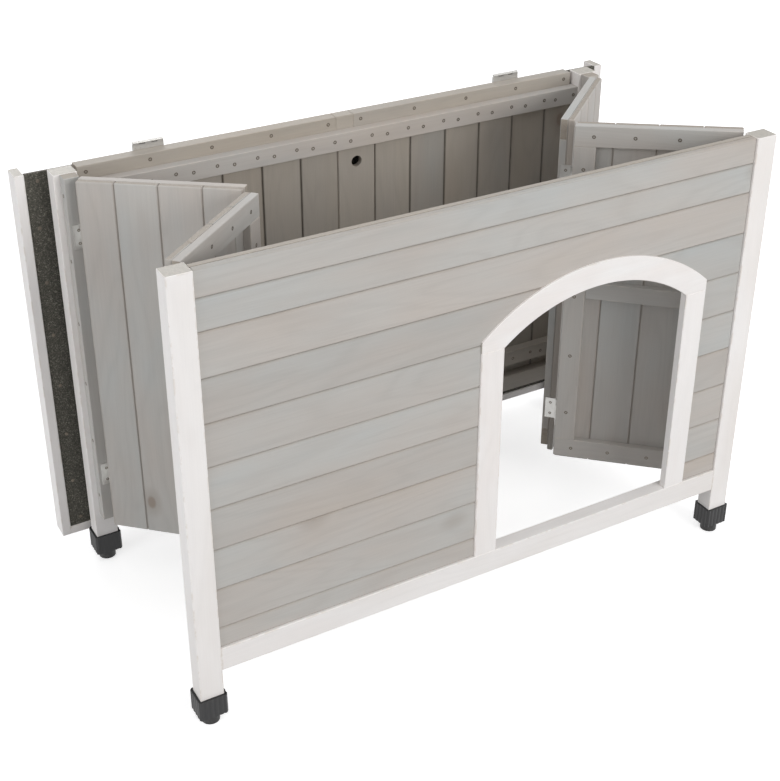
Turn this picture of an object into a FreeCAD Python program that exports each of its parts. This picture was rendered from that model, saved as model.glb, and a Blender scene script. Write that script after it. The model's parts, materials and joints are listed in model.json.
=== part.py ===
import FreeCAD, Part
import math
import os
import re

import Sketcher
from FreeCAD import Placement, Rotation, Vector

# Folding wooden dog house, part folded as it stands: a back wall on two posts, a front wall with
# an arched doorway, two side walls that each fold inwards in two halves on butt hinges, and a
# felt covered roof panel that hangs behind the back wall on two butt hinges.
# Millimetres, +Z up, X along the front, the front wall at -Y.

os.makedirs("parts", exist_ok=True)
doc = FreeCAD.newDocument("dog_house")

SIZES = (
    # posts and feet
    ("wall_width", 990.0),
    ("post_width", 37.0),
    ("post_depth", 30.0),
    ("front_post_top", 738.0),
    ("rear_post_top", 709.0),
    ("foot_wall", 4.0),
    ("foot_floor", 4.0),
    ("foot_height", 35.0),
    ("boss_height", 17.0),
    ("boss_radius", 14.0),
    ("flute_depth", 0.8),
    ("flute_pitch", 7.0),
    # boards
    ("board_thickness", 10.0),
    ("board_gap", 0.4),
    ("board_ease", 1.4),
    ("edge_ease", 0.8),
    # front wall
    ("front_pitch", 68.4),
    ("front_first_board", 41.2),
    ("front_second_board", 48.0),
    ("front_setback", 3.6),
    ("front_batten_thickness", 12.0),
    ("front_batten_height", 30.0),
    ("front_batten_bevel", 4.0),
    ("front_rail_low", 95.0),
    ("front_rail_height", 40.0),
    ("front_rail_depth", 24.0),
    ("door_offset", 675.3),
    ("door_width", 338.5),
    ("trim_width", 39.2),
    ("arch_radius", 267.5),
    ("arch_centre_height", 292.5),
    ("door_batten_width", 26.0),
    # back wall
    ("rear_pitch", 69.0),
    ("rear_first_board", 31.0),
    ("rear_board_low", 97.0),
    ("rear_batten_setback", 2.0),
    ("rear_batten_thickness", 18.0),
    ("rear_batten_height", 30.0),
    ("rear_top_batten_drop", 53.0),
    ("rear_bottom_batten_low", 149.0),
    ("rear_rail_low", 95.0),
    ("rear_rail_height", 31.0),
    ("top_rail_depth", 22.0),
    ("top_rail_height", 42.0),
    ("top_rail_drop", 1.0),
    ("top_rail_end_gap", 5.0),
    ("rail_block_width", 32.0),
    ("vent_offset", 516.5),
    ("vent_drop", 84.5),
    ("vent_radius", 9.5),
    ("strip_width", 24.0),
    ("strip_depth", 20.0),
    ("strip_inset", 9.5),
    # folding side halves
    ("fold_angle", 47.0),
    ("half_length", 261.5),
    ("side_inset", 10.0),
    ("side_frame_thickness", 12.0),
    ("side_frame_width", 35.0),
    ("side_board_low", 97.0),
    ("side_frame_lift", 10.0),
    ("side_top_gap", 1.0),
    ("side_first_board", 60.0),
    ("side_pitch", 68.0),
    # side hinges
    ("side_knuckle_radius", 2.2),
    ("side_pin_radius", 1.1),
    ("leaf_clearance", 0.1),
    ("running_gap", 0.05),
    ("knuckle_gap", 0.3),
    ("side_leaf_thickness", 1.3),
    ("side_leaf_width", 20.0),
    ("side_hinge_length", 40.0),
    ("low_hinge_height", 90.0),
    ("high_hinge_drop", 97.0),
    # roof
    ("roof_overhang", 46.0),
    ("roof_length", 678.0),
    ("roof_edge_gap", 18.0),
    ("deck_thickness", 5.5),
    ("deck_board_width", 65.0),
    ("felt_thickness", 1.5),
    ("fascia_thickness", 15.0),
    ("fascia_depth", 34.0),
    ("fascia_lift", 2.0),
    ("deck_batten_width", 38.0),
    ("deck_batten_thickness", 12.0),
    ("deck_batten_margin", 26.0),
    ("deck_batten_first", 210.0),
    ("deck_batten_second", 450.0),
    # roof hinges
    ("roof_knuckle_radius", 2.5),
    ("roof_pin_radius", 1.3),
    ("roof_leaf_thickness", 1.5),
    ("roof_leaf_width", 30.0),
    ("roof_hinge_length", 50.0),
    ("roof_hinge_inset", 211.0),
)

sheet = doc.addObject("Spreadsheet::Sheet", "Sizes")
for row, (alias, value) in enumerate(SIZES, 1):
    sheet.set("A%d" % row, alias)
    sheet.set("B%d" % row, str(value))
    sheet.setAlias("B%d" % row, alias)
doc.recompute()
val = dict(SIZES)


def ex(text):
    """Expression text in which every size name points at its cell of the sheet."""
    def point(found):
        word = found.group(0)
        return "Sizes." + word if word in val else word
    return re.sub(r"[A-Za-z_]\w*", point, str(text))


# ---- derived lines, written once as expression text -----------------------------------------
hinge_gap = "(2 * side_knuckle_radius + 2 * leaf_clearance)"
side_thickness = "(board_thickness + side_frame_thickness)"
side_offset = f"({side_thickness} + 2 * side_knuckle_radius)"
fold_cos = "cos(fold_angle * 1deg)"
fold_sin = "sin(fold_angle * 1deg)"
half_reach = f"(half_length * {fold_cos} + {side_offset} * {fold_sin})"
wall_gap = f"(post_depth + strip_depth + {hinge_gap} + 2 * {half_reach})"
erected_gap = f"(post_depth + strip_depth + {hinge_gap} + 2 * half_length)"
board_face = "(rear_batten_setback + rear_batten_thickness)"
roof_pin_back = f"({board_face} + top_rail_depth + roof_knuckle_radius)"
roof_pin_z = "(rear_post_top + deck_thickness + felt_thickness + roof_knuckle_radius)"
roof_back = f"({roof_pin_back} + roof_knuckle_radius - fascia_lift + fascia_depth)"
# the front of the front posts lies at y_front, the front of the rear posts at y_rear
y_front = f"(-({wall_gap} + {roof_back} - foot_wall) / 2)"
y_rear = f"({y_front} + {wall_gap})"
x_left = "(-wall_width / 2)"
x_right = "(wall_width / 2)"
y_roof_pin = f"({y_rear} + {roof_pin_back})"
post_foot = "(boss_height + foot_floor)"
pin_inset = "(side_inset + board_thickness + side_frame_thickness + side_knuckle_radius)"
roof_rise = f"((front_post_top - rear_post_top) / ({erected_gap} + {roof_pin_back} - post_depth))"
side_frame_low = "(side_board_low + side_frame_lift)"
door_x = f"({x_left} + door_offset)"
arch_seat = "(arch_centre_height + sqrt(arch_radius * arch_radius - door_width * door_width / 4))"
trim_half = "(door_width / 2 + trim_width)"
arch_outer = "(arch_radius + trim_width)"
trim_thickness = "(front_setback + board_thickness)"
front_board_low = "(front_rail_low + front_rail_height)"


def place(obj, at, turn=None):
    """Bind an object's place to the sheet; turn is the pair (origin, angle) of a turned frame."""
    x, y, z = at
    if turn:
        (ox, oy), angle = turn
        ca = f"cos({angle} * 1deg)"
        sa = f"sin({angle} * 1deg)"
        obj.Placement = Placement(Vector(0, 0, 0), Rotation(Vector(0, 0, 1), 10))
        obj.setExpression("Placement.Rotation.Angle", ex(angle))
        x, y = f"{ox} + ({x}) * {ca} - ({y}) * {sa}", f"{oy} + ({x}) * {sa} + ({y}) * {ca}"
    obj.setExpression("Placement.Base.x", ex(x))
    obj.setExpression("Placement.Base.y", ex(y))
    obj.setExpression("Placement.Base.z", ex(z))
    return obj


def plane(body, role):
    return [f for f in body.Origin.OriginFeatures if f.Role == role][0]


def new_body(label):
    body = doc.addObject("PartDesign::Body", "Body")
    body.Label = label
    return body


def new_sketch(body, role="XY_Plane"):
    sketch = body.newObject("Sketcher::SketchObject", "Sketch")
    sketch.AttachmentSupport = [(plane(body, role), "")]
    sketch.MapMode = "FlatFace"
    return sketch


def pin_point(sketch, geo, pos, x, y):
    """Hold one point of a sketch at a place given by two expressions."""
    at = sketch.getPoint(geo, pos)
    for kind, start, text in (("DistanceX", at.x, x), ("DistanceY", at.y, y)):
        index = sketch.addConstraint(Sketcher.Constraint(kind, -1, 1, geo, pos, start))
        sketch.setExpression("Constraints[%d]" % index, ex(text))


def outline(sketch, points):
    """Closed outline through points, each given by two expressions."""
    count = len(points)
    first = sketch.GeometryCount
    ring = [Vector(50 * math.cos(2 * math.pi * k / count), 50 * math.sin(2 * math.pi * k / count), 0)
            for k in range(count)]
    for k in range(count):
        sketch.addGeometry(Part.LineSegment(ring[k], ring[(k + 1) % count]), False)
    for k in range(count):
        after = first + (k + 1) % count
        sketch.addConstraint(Sketcher.Constraint("Coincident", first + k, 2, after, 1))
    for k, (x, y) in enumerate(points):
        pin_point(sketch, first + k, 1, x, y)


def disc(sketch, x, y, radius):
    """Circle at a place given by expressions."""
    geo = sketch.addGeometry(Part.Circle(Vector(1, 1, 0), Vector(0, 0, 1), 3), False)
    pin_point(sketch, geo, 3, x, y)
    index = sketch.addConstraint(Sketcher.Constraint("Radius", geo, 3))
    sketch.setExpression("Constraints[%d]" % index, ex(radius))


def ring_points(radius, sides):
    """Corners of a regular polygon about the origin, as expressions of its corner radius."""
    turns = [2 * math.pi * k / sides for k in range(sides)]
    return [(f"({radius}) * {math.cos(a):.9f}", f"({radius}) * {math.sin(a):.9f}") for a in turns]


def pad(body, sketch, length, back=False):
    feature = body.newObject("PartDesign::Pad", "Pad")
    feature.Profile = sketch
    feature.setExpression("Length", ex(length))
    feature.Reversed = back
    return feature


def pocket(body, sketch, length, back=False):
    feature = body.newObject("PartDesign::Pocket", "Pocket")
    feature.Profile = sketch
    feature.setExpression("Length", ex(length))
    feature.Reversed = back
    return feature


def ease(body, base, size):
    feature = body.newObject("PartDesign::Chamfer", "Chamfer")
    feature.Base = (base, [""])
    feature.UseAllEdges = True
    feature.setExpression("Size", ex(size))
    return feature


def stick(label, size, at, turn=None, eased="edge_ease"):
    """A planed stick or board: a rectangle padded upwards, with its edges eased."""
    length, depth, height = size
    body = new_body(label)
    sketch = new_sketch(body)
    outline(sketch, [("0", "0"), (length, "0"), (length, depth), ("0", depth)])
    block = pad(body, sketch, height)
    ease(body, block, eased)
    return place(body, at, turn)


def group(label, members):
    whole = doc.addObject("Part::Compound", "Group")
    whole.Label = label
    whole.Links = members
    return whole


def board_edges(first, pitch, span):
    """Edges of boards across a span: one of its own width, then one per pitch."""
    edges = [0.0, first]
    while edges[-1] + pitch < span - 4.0:
        edges.append(edges[-1] + pitch)
    return len(edges) - 1


subparts = []


def keep(obj):
    subparts.append(obj)
    return obj


# ---- posts and feet -------------------------------------------------------------------------
def foot(label, x, y):
    """Moulded cap over the end of a post: fluted sides, rounded corners and a round tread."""
    body = new_body(label)
    sketch = new_sketch(body)
    wide = val["post_width"] + 2 * val["foot_wall"]
    deep = val["post_depth"] + 2 * val["foot_wall"]
    dip = val["flute_depth"]
    corner = 4.0 * dip
    points = []
    sides = ((wide, 0, 0, 1, 0), (deep, wide, 0, 0, 1), (wide, wide, deep, -1, 0), (deep, 0, deep, 0, -1))
    for length, ox, oy, dx, dy in sides:
        flutes = max(2, int((length - 2 * corner) / val["flute_pitch"]))
        step = (length - 2 * corner) / flutes
        points.append((ox + dx * corner, oy + dy * corner))
        for k in range(flutes):
            s = corner + k * step
            for part, sink in ((0.15, 0.0), (0.5, dip), (0.85, 0.0)):
                along = s + part * step
                points.append((ox + dx * along - dy * sink, oy + dy * along + dx * sink))
        points.append((ox + dx * (length - corner), oy + dy * (length - corner)))
    wire = [Vector(px, py, 0) for px, py in points]
    count = len(wire)
    for k in range(count):
        sketch.addGeometry(Part.LineSegment(wire[k], wire[(k + 1) % count]), False)
    for k in range(count):
        sketch.addConstraint(Sketcher.Constraint("Coincident", k, 2, (k + 1) % count, 1))
        sketch.addConstraint(Sketcher.Constraint("Block", k))
    sketch.AttachmentOffset = Placement(Vector(0, 0, val["boss_height"]), Rotation())
    sketch.setExpression("AttachmentOffset.Base.z", ex("boss_height"))
    pad(body, sketch, "foot_height")
    well = new_sketch(body)
    well.setExpression("AttachmentOffset.Base.z", ex(post_foot))
    outline(well, [("foot_wall", "foot_wall"), ("foot_wall + post_width", "foot_wall"),
                   ("foot_wall + post_width", "foot_wall + post_depth"),
                   ("foot_wall", "foot_wall + post_depth")])
    pocket(body, well, "foot_height", back=True)
    tread = new_sketch(body)
    disc(tread, "foot_wall + post_width / 2", "foot_wall + post_depth / 2", "boss_radius")
    pad(body, tread, "boss_height")
    return place(body, (f"{x} - foot_wall", f"{y} - foot_wall", "0"))


x_right_post = f"({x_right} - post_width)"
for side, px in (("left", x_left), ("right", x_right_post)):
    for wall, py, top in (("front", y_front, "front_post_top"), ("rear", y_rear, "rear_post_top")):
        keep(stick(f"{wall}_{side}_post", ("post_width", "post_depth", f"{top} - {post_foot}"),
                   (px, py, post_foot)))
        keep(foot(f"{wall}_{side}_foot", px, py))

# ---- front wall -----------------------------------------------------------------------------
x_in = f"({x_left} + post_width)"
inner_width = "(wall_width - 2 * post_width)"
y_boards = f"({y_front} + front_setback)"
y_front_batten = f"({y_boards} + board_thickness)"
keep(stick("front_bottom_rail", (inner_width, "front_rail_depth", "front_rail_height"),
           (x_in, y_front, "front_rail_low")))


def door_outline(sketch, half, radius, low):
    """Doorway outline: upright sides under a segmental arch, from the sheet's door sizes."""
    cx = val["door_offset"] - val["wall_width"] / 2
    cz = val["arch_centre_height"]
    w = val["door_width"] / 2
    rad = val["arch_radius"]
    if radius == arch_outer:
        w += val["trim_width"]
        rad += val["trim_width"]
    top = cz + math.sqrt(rad * rad - w * w)
    bottom = low[1]
    start = math.asin((top - cz) / rad)
    arc = Part.ArcOfCircle(Part.Circle(Vector(cx, cz, 0), Vector(0, 0, 1), rad), start, math.pi - start)
    g = sketch.addGeometry(arc, False)
    a = sketch.addGeometry(Part.LineSegment(Vector(cx - w, top, 0), Vector(cx - w, bottom, 0)), False)
    b = sketch.addGeometry(Part.LineSegment(Vector(cx - w, bottom, 0), Vector(cx + w, bottom, 0)), False)
    c = sketch.addGeometry(Part.LineSegment(Vector(cx + w, bottom, 0), Vector(cx + w, top, 0)), False)
    for one, p, two, q in ((g, 2, a, 1), (a, 2, b, 1), (b, 2, c, 1), (c, 2, g, 1)):
        sketch.addConstraint(Sketcher.Constraint("Coincident", one, p, two, q))
    index = sketch.addConstraint(Sketcher.Constraint("Radius", g, rad))
    sketch.setExpression("Constraints[%d]" % index, ex(radius))
    pin_point(sketch, g, 3, door_x, "arch_centre_height")
    pin_point(sketch, b, 1, f"{door_x} - {half}", low[0])
    pin_point(sketch, b, 2, f"{door_x} + {half}", low[0])
    sketch.addConstraint(Sketcher.Constraint("Vertical", a))
    sketch.addConstraint(Sketcher.Constraint("Vertical", c))


front_boards = []
z_top = "front_post_top"
heights = ["front_first_board", "front_second_board"]
room = val["front_post_top"] - val["front_first_board"] - val["front_second_board"]
room -= val["front_rail_low"] + val["front_rail_height"]
full = int((room - 4.0) / val["front_pitch"])
heights += ["front_pitch"] * full
for k, height in enumerate(heights):
    z_low = f"({z_top} - {height})"
    front_boards.append(stick(f"front_board_{k + 1}", (inner_width, "board_thickness", f"{height} - board_gap"),
                              (x_in, y_boards, f"{z_low} + board_gap / 2"), eased="board_ease"))
    z_top = z_low
front_boards.append(stick("front_board_last",
                          (inner_width, "board_thickness", f"{z_top} - {front_board_low} - board_gap"),
                          (x_in, y_boards, f"{front_board_low} + board_gap / 2"), eased="board_ease"))
door_tool = new_body("door_cut")
door_sketch = new_sketch(door_tool, "XZ_Plane")
door_low = (f"{front_board_low} - 20", val["front_rail_low"] + val["front_rail_height"] - 20)
door_outline(door_sketch, trim_half, arch_outer, door_low)
pad(door_tool, door_sketch, "board_thickness + 20", back=True)
place(door_tool, ("0", f"{y_boards} - 10", "0"))
front_cladding = doc.addObject("Part::Cut", "Cladding")
front_cladding.Base = group("front_board_stack", front_boards)
front_cladding.Tool = door_tool
front_cladding.Label = "front_boards"
keep(front_cladding)

for name, ux in (("left", f"{door_x} - {trim_half}"), ("right", f"{door_x} + door_width / 2")):
    keep(stick(f"door_{name}_upright", ("trim_width", trim_thickness, f"{arch_seat} - {front_board_low}"),
               (ux, y_front, front_board_low)))

arch = new_body("door_arch")
arch_sketch = new_sketch(arch, "XZ_Plane")
door_outline(arch_sketch, trim_half, arch_outer, (arch_seat, 499.0))
arch_pad = pad(arch, arch_sketch, trim_thickness, back=True)
arch_cut = new_sketch(arch, "XZ_Plane")
door_outline(arch_cut, "door_width / 2", "arch_radius", (f"{arch_seat} - 30", 469.0))
arch_pocket = pocket(arch, arch_cut, f"{trim_thickness} + 5", back=False)
ease(arch, arch_pocket, "edge_ease")
place(arch, ("0", y_front, "0"))
keep(arch)

# top batten behind the boards, its back edge bevelled for the closing roof
batten = new_body("front_top_batten")
batten_sketch = new_sketch(batten, "YZ_Plane")
outline(batten_sketch, [("0", "-front_batten_height"), ("front_batten_thickness", "-front_batten_height"),
                        ("front_batten_thickness", "-front_batten_bevel"),
                        ("front_batten_thickness - front_batten_bevel", "0"), ("0", "0")])
pad(batten, batten_sketch, inner_width)
place(batten, (x_in, y_front_batten, "front_post_top"))
keep(batten)
door_battens = []
for name, bx in (("left", f"{door_x} - {trim_half} - door_batten_width / 2"),
                 ("right", f"{door_x} + {trim_half} - door_batten_width / 2")):
    door_battens.append(stick(f"door_{name}_batten", ("door_batten_width", "front_batten_thickness",
                              f"front_post_top - front_batten_height - {front_board_low}"),
                              (bx, y_front_batten, front_board_low)))
keep(group("front_door_battens", door_battens))
keep(stick("front_left_batten", ("door_batten_width", "front_batten_thickness",
                                 f"front_post_top - front_batten_height - {front_board_low}"),
           (x_in, y_front_batten, front_board_low)))

# ---- back wall ------------------------------------------------------------------------------
y_rear_boards = f"({y_rear} + {board_face})"
top_rail_low = "(rear_post_top - top_rail_drop - top_rail_height)"
y_battens = f"({y_rear} + rear_batten_setback)"
rear_boards = []
rear_full = board_edges(val["rear_first_board"], val["rear_pitch"], val["wall_width"] - 2 * val["post_width"])
rear_height = f"{top_rail_low} - rear_board_low"
edge = "0"
vent_board = None
for k in range(rear_full + 1):
    if k == 0:
        wide = "rear_first_board"
    elif k < rear_full:
        wide = "rear_pitch"
    else:
        wide = f"({inner_width} - rear_first_board - {rear_full - 1} * rear_pitch)"
    board = stick(f"rear_board_{k + 1}", (f"{wide} - board_gap", "board_thickness", rear_height),
                  (f"{x_in} + {edge} + board_gap / 2", y_rear_boards, "rear_board_low"), eased="board_ease")
    low_edge = 0.0 if k == 0 else val["rear_first_board"] + (k - 1) * val["rear_pitch"]
    high_edge = val["rear_first_board"] + k * val["rear_pitch"]
    if low_edge <= val["vent_offset"] - val["post_width"] < high_edge:
        drill = new_sketch(board, "XZ_Plane")
        disc(drill, f"vent_offset - post_width - {edge} - board_gap / 2",
             "rear_post_top - vent_drop - rear_board_low", "vent_radius")
        pocket(board, drill, "board_thickness", back=False)
        board.Label = "rear_vent_board"
        vent_board = board
    else:
        rear_boards.append(board)
    edge = f"(rear_first_board + {k} * rear_pitch)"
keep(group("rear_wall_boards", rear_boards))
keep(vent_board)
for name, low in (("top", "(rear_post_top - rear_top_batten_drop)"), ("bottom", "rear_bottom_batten_low")):
    keep(stick(f"rear_{name}_batten", (inner_width, "rear_batten_thickness", "rear_batten_height"),
               (x_in, y_battens, low)))
keep(stick("rear_bottom_rail", (inner_width, board_face, "rear_rail_height"), (x_in, y_rear, "rear_rail_low")))
rail_half = "((wall_width - rail_block_width) / 2 - post_width - top_rail_end_gap)"
rail_size = (rail_half, "top_rail_depth", "top_rail_height")
keep(stick("rear_top_rail_left", rail_size, (f"{x_in} + top_rail_end_gap", y_rear_boards, top_rail_low)))
keep(stick("rear_top_rail_right", rail_size, ("rail_block_width / 2", y_rear_boards, top_rail_low)))
keep(stick("rear_top_rail_block", ("rail_block_width", "top_rail_depth", "top_rail_height"),
           ("-rail_block_width / 2", y_rear_boards, top_rail_low)))
for side, sx in (("left", f"{x_left} + strip_inset"), ("right", f"{x_right} - strip_inset - strip_width")):
    keep(stick(f"rear_{side}_corner_strip", ("strip_width", "strip_depth", "rear_post_top - side_board_low"),
               (sx, f"{y_rear} - strip_depth", "side_board_low")))


# ---- butt hinges ----------------------------------------------------------------------------
def leaf(label, length, width, thick, face, knuckle, pin, shares, sides, mine, side):
    """Hinge leaf whose pin line is the Z axis: a plate towards +X and its share of the knuckles.

    The plate's outer face lies at the distance face from the pin line, on +Y or on -Y, and the
    knuckles alternate with those of the other leaf. Barrels and bores are many-sided prisms; the
    bore's flats stand off the pin's corners by the running gap.
    """
    body = new_body(label)
    low, high = (f"{face} - {thick}", face) if side > 0 else (f"-({face})", f"{thick} - {face}")
    plate = new_sketch(body)
    root = f"({knuckle} + 0.3)"
    outline(plate, [(root, low), (width, low), (width, high), (root, high)])
    pad(body, plate, length)
    step = f"({length} / {shares})"
    for k in range(mine, shares, 2):
        at = ex(f"{step} * {k} + knuckle_gap / 2")
        web = new_sketch(body)
        web.setExpression("AttachmentOffset.Base.z", at)
        outline(web, [("0", low), (f"{root} + 0.2", low), (f"{root} + 0.2", high), ("0", high)])
        pad(body, web, f"{step} - knuckle_gap")
        ring = new_sketch(body)
        ring.setExpression("AttachmentOffset.Base.z", at)
        outline(ring, ring_points(knuckle, sides))
        pad(body, ring, f"{step} - knuckle_gap")
    hole = new_sketch(body)
    outline(hole, ring_points(f"({pin} + running_gap) / cos(180deg / {sides})", sides))
    pocket(body, hole, f"{length} + 2", back=True)
    return body


# ---- folding side halves --------------------------------------------------------------------
# Each half is built in a frame of its own: the pin line at its post end is the frame's Z axis,
# X runs along the half to the middle fold, and inwards is +Y or -Y.
x_left_pin = f"({x_left} + {pin_inset})"
x_right_pin = f"({x_right} - {pin_inset})"
y_rear_pin = f"({y_rear} - strip_depth - {hinge_gap} / 2)"
y_front_pin = f"({y_front} + post_depth + {hinge_gap} / 2)"
HALVES = (
    ("left_rear", +1, x_left_pin, y_rear_pin, "(fold_angle - 90)"),
    ("left_front", -1, x_left_pin, y_front_pin, "(90 - fold_angle)"),
    ("right_rear", -1, x_right_pin, y_rear_pin, "(-90 - fold_angle)"),
    ("right_front", +1, x_right_pin, y_front_pin, "(90 + fold_angle)"),
)
pin_to_roof_pin = f"(strip_depth + {hinge_gap} / 2 + {roof_pin_back})"
top_at_rear = f"(rear_post_top + {roof_rise} * {pin_to_roof_pin} - side_top_gap)"
top_at_front = f"(rear_post_top + {roof_rise} * ({pin_to_roof_pin} + 2 * half_length) - side_top_gap)"


def across(sign, near, far):
    """Y start of a layer that lies from near to far outwards of the pin line."""
    return f"-({far})" if sign > 0 else f"({near})"


def top_line(rear, x):
    """Height of a half's sloping top at a place along it."""
    if rear:
        return f"({top_at_rear} + {roof_rise} * ({x}))"
    return f"({top_at_front} - {roof_rise} * ({x}))"


def sloped(label, x0, x1, y0, depth, z_low, drop, rear, turn, eased):
    """Upright board or rail whose top follows the roof's fall, drawn in its own side view."""
    body = new_body(label)
    sketch = new_sketch(body, "XZ_Plane")
    if z_low is None:
        lows = [(x0, f"{top_line(rear, x0)} - {drop}"), (x1, f"{top_line(rear, x1)} - {drop}")]
    else:
        lows = [(x0, z_low), (x1, z_low)]
    cut = "0" if z_low is None else drop
    highs = [(x1, f"{top_line(rear, x1)} - {cut}"), (x0, f"{top_line(rear, x0)} - {cut}")]
    outline(sketch, lows + highs)
    block = pad(body, sketch, depth, back=True)
    ease(body, block, eased)
    return place(body, ("0", y0, "0"), turn)


for name, sign, ox, oy, angle in HALVES:
    rear = name.endswith("rear")
    turn = ((ox, oy), angle)
    x0 = f"({hinge_gap} / 2)"
    x1 = f"(half_length - {hinge_gap} / 2)"
    span = val["half_length"] - 2 * (val["side_knuckle_radius"] + val["leaf_clearance"])
    knuckle = "side_knuckle_radius"
    y_frame = across(sign, knuckle, f"{knuckle} + side_frame_thickness")
    y_board = across(sign, f"{knuckle} + side_frame_thickness", f"{knuckle} + {side_thickness}")
    boards = []
    full = board_edges(val["side_first_board"], val["side_pitch"], span)
    start = x0
    for k in range(full + 1):
        if k < full:
            end = f"({x0} + side_first_board + {k} * side_pitch)"
        else:
            end = x1
        boards.append(sloped(f"{name}_board_{k + 1}", f"({start} + board_gap / 2)", f"({end} - board_gap / 2)",
                             y_board, "board_thickness", "side_board_low", "0", rear, turn, "board_ease"))
        start = end
    keep(group(f"{name}_boards", boards))
    keep(sloped(f"{name}_top_rail", x0, x1, y_frame, "side_frame_thickness", None, "side_frame_width", rear,
                turn, "edge_ease"))
    keep(stick(f"{name}_bottom_rail", (f"{x1} - {x0}", "side_frame_thickness", "side_frame_width"),
               (x0, y_frame, side_frame_low), turn))
    stiles = []
    z_stile = f"({side_frame_low} + side_frame_width)"
    for k, (s0, s1) in enumerate(((x0, f"({x0} + side_frame_width)"), (f"({x1} - side_frame_width)", x1))):
        stiles.append(sloped(f"{name}_stile_{k + 1}", s0, s1, y_frame, "side_frame_thickness", z_stile,
                             "side_frame_width", rear, turn, "edge_ease"))
    keep(group(f"{name}_stiles", stiles))

# ---- roof panel, hanging behind the back wall -------------------------------------------------
roof_width = "(wall_width + 2 * roof_overhang)"
x_roof = "(-wall_width / 2 - roof_overhang)"
y_felt = f"({y_roof_pin} + roof_knuckle_radius)"
y_deck = f"({y_felt} + felt_thickness)"
y_fascia = f"({y_felt} - fascia_lift)"
z_roof_low = f"({roof_pin_z} - roof_length)"
roof_rise_size = "(roof_length - roof_edge_gap)"
sheet_size = f"({roof_rise_size} - fascia_thickness)"
sheet_width = f"({roof_width} - 2 * fascia_thickness)"
deck_boards = []
deck_count = round((val["roof_length"] - val["roof_edge_gap"] - val["fascia_thickness"]) / val["deck_board_width"])
deck_pitch = f"({sheet_size} / {deck_count})"
for k in range(deck_count):
    deck_boards.append(stick(f"deck_board_{k + 1}", (sheet_width, "deck_thickness", f"{deck_pitch} - board_gap"),
                             (f"{x_roof} + fascia_thickness", y_deck,
                              f"{z_roof_low} + fascia_thickness + {k} * {deck_pitch} + board_gap / 2"),
                             eased="board_ease"))
keep(group("roof_deck_boards", deck_boards))
keep(stick("roof_felt", (sheet_width, "felt_thickness", sheet_size),
           (f"{x_roof} + fascia_thickness", y_felt, f"{z_roof_low} + fascia_thickness"), eased="0.3"))
for side, fx in (("left", x_roof), ("right", f"-({x_roof}) - fascia_thickness")):
    keep(stick(f"roof_{side}_fascia", ("fascia_thickness", "fascia_depth", roof_rise_size),
               (fx, y_fascia, z_roof_low)))
keep(stick("roof_front_fascia", (sheet_width, "fascia_depth", "fascia_thickness"),
           (f"{x_roof} + fascia_thickness", y_fascia, z_roof_low)))
deck_battens = []
for k, reach in enumerate(("deck_batten_first", "deck_batten_second")):
    batten_x = f"({x_left} + post_width + deck_batten_margin)"
    batten_size = (f"-2 * {batten_x}", "deck_batten_thickness", "deck_batten_width")
    deck_battens.append(stick(f"deck_batten_{k + 1}", batten_size,
                              (batten_x, f"{y_deck} + deck_thickness",
                               f"{roof_pin_z} - {reach} - deck_batten_width")))
keep(group("roof_deck_battens", deck_battens))

# ---- hinges: leaf models, then one copy wherever a leaf is screwed on --------------------------
SIDE_BARREL = 12
ROOF_BARREL = 16
side_sizes = ("side_hinge_length", "side_leaf_width", "side_leaf_thickness", f"{hinge_gap} / 2",
              "side_knuckle_radius", "side_pin_radius", 3, SIDE_BARREL)
roof_sizes = ("roof_hinge_length", "roof_leaf_width", "roof_leaf_thickness", "roof_knuckle_radius",
              "roof_knuckle_radius", "roof_pin_radius", 5, ROOF_BARREL)
side_leaf = {(mine, side): leaf(f"side_leaf_{mine}_{side > 0:d}", *side_sizes, mine, side)
             for mine in (0, 1) for side in (-1, 1)}
wall_leaf = leaf("wall_leaf", *roof_sizes, 0, -1)
roof_leaf = leaf("roof_leaf", *roof_sizes, 1, 1)


def copy(model, at, angle=None, lying=False, turn=None):
    """One more copy of a model, turned about Z by angle, or laid with its Z axis along X."""
    link = doc.addObject("App::Link", "Copy")
    link.LinkedObject = model
    if lying:
        link.Placement = Placement(Vector(0, 0, 0), Rotation(Vector(0, 1, 0), 90))
        return place(link, at)
    x, y, z = at
    if turn:
        (ox, oy), base = turn
        ca, sa = f"cos({base} * 1deg)", f"sin({base} * 1deg)"
        x, y = f"{ox} + ({x}) * {ca} - ({y}) * {sa}", f"{oy} + ({x}) * {sa} + ({y}) * {ca}"
        angle = f"({base} + {angle})"
    link.Placement = Placement(Vector(0, 0, 0), Rotation(Vector(0, 0, 1), 10))
    link.setExpression("Placement.Rotation.Angle", ex(angle))
    return place(link, (x, y, z))


def hinge_pin(radius, length, at, sides, lying=False):
    """Hinge pin with its corners on the pin radius."""
    pin = doc.addObject("Part::Prism", "Pin")
    pin.Polygon = sides
    pin.setExpression("Circumradius", ex(radius))
    pin.setExpression("Height", ex(length))
    if lying:
        pin.Placement = Placement(Vector(0, 0, 0), Rotation(Vector(0, 1, 0), 90))
    return place(pin, at)


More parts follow.
